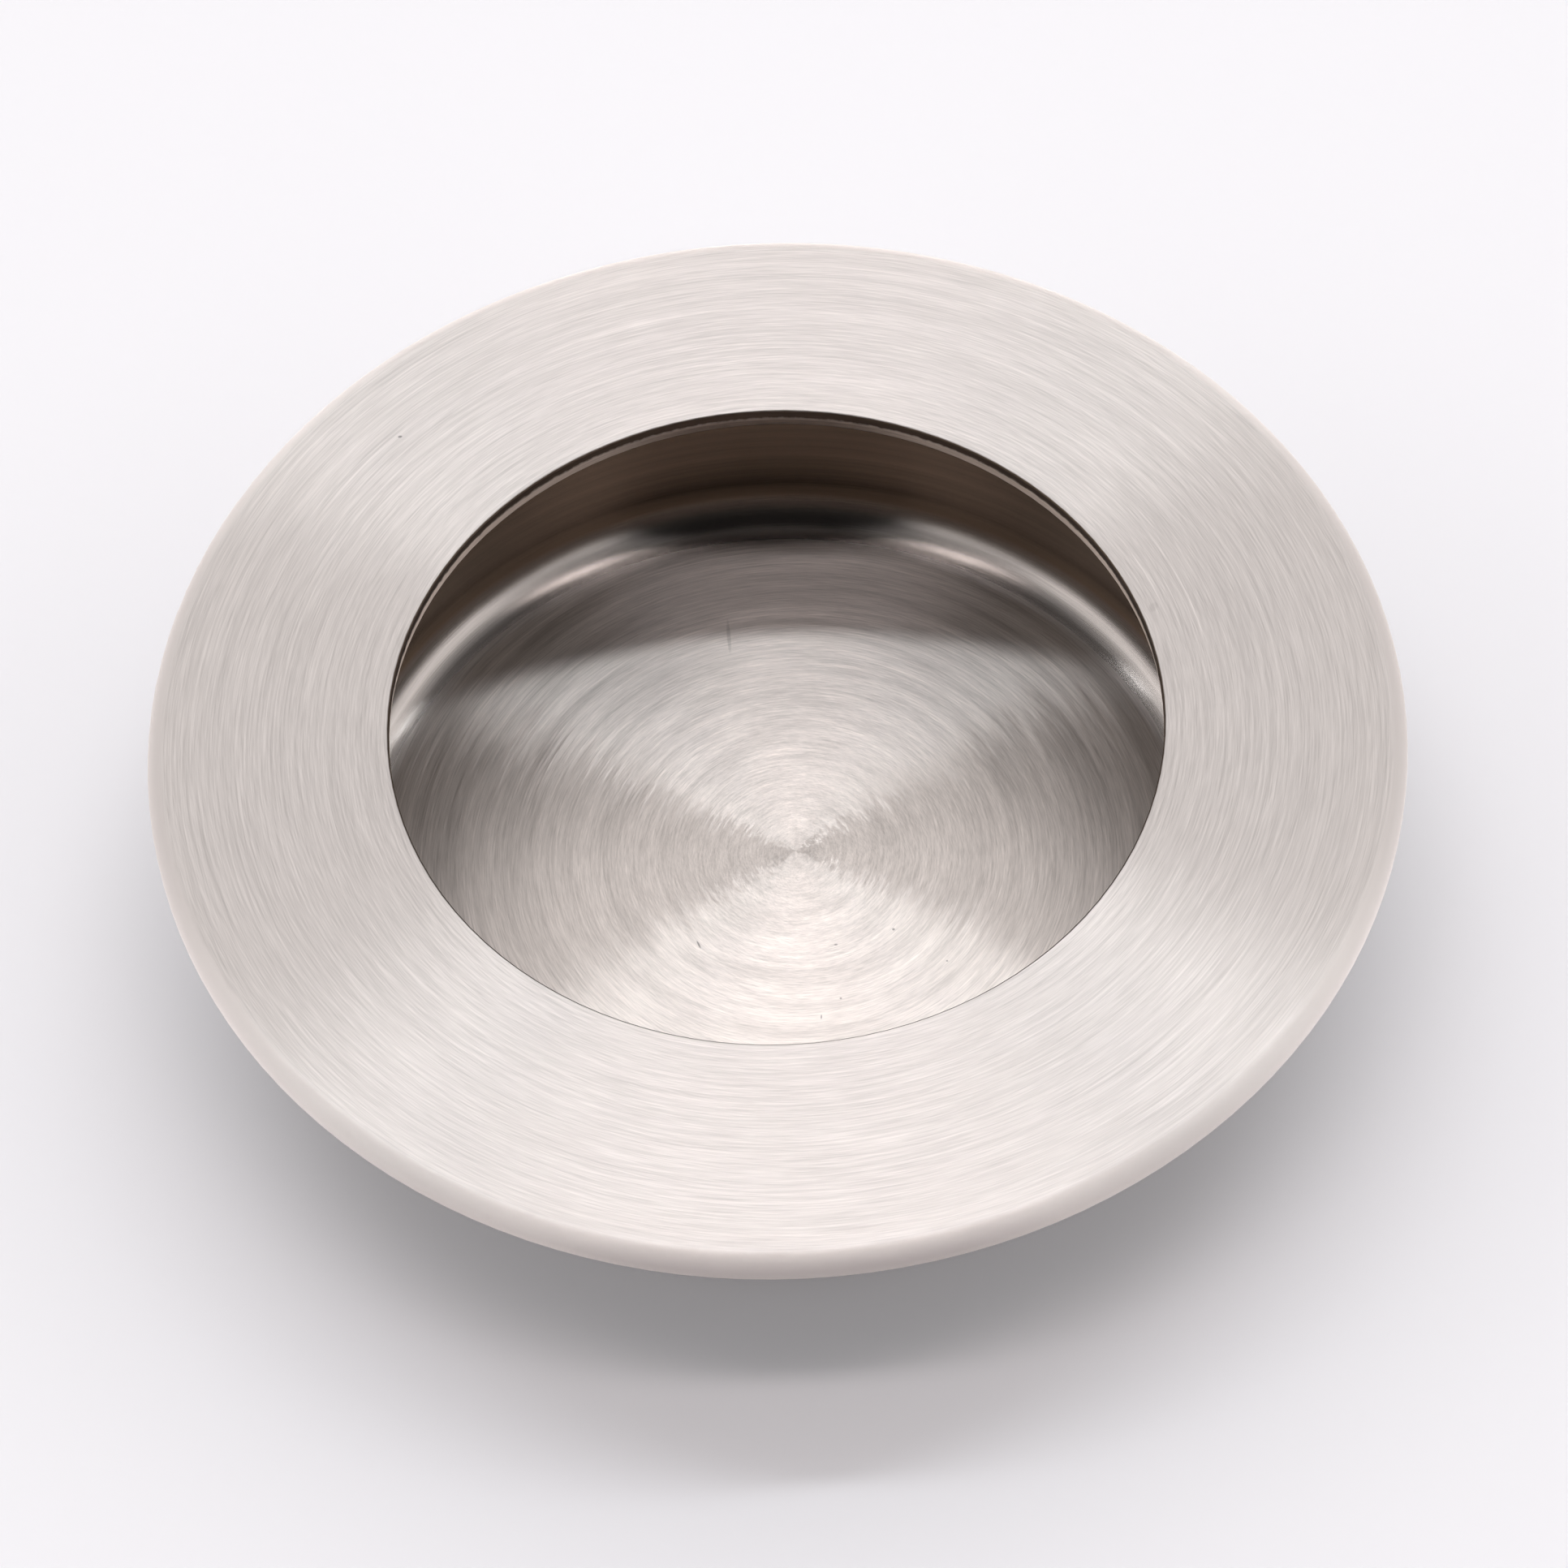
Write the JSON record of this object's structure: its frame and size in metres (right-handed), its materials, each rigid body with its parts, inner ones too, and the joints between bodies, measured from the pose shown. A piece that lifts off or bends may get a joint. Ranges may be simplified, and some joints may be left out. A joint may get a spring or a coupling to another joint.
{
  "type": "recessed pull handle",
  "caption": "Round recessed pull handle: a flat brushed-steel ring with a wider drawn cup behind it, so that fingers hook behind the edge of its mouth.",
  "frame": {"origin": "on the axis, at the underside of the cup, which the handle stands on when it lies face up", "axes": "+Z along the axis, out through the mouth, square to the face; X and Y are free, because the handle is round"},
  "size_m": [0.065, 0.065, 0.0155],
  "materials": {
    "face_steel": "satin, brushed in rings about the axis",
    "cup_steel": "satin, brushed in rings about the axis"
  },
  "bodies": {
    "root": {"face_plate": "face_steel", "cup": "cup_steel"}
  },
  "joints": []
}
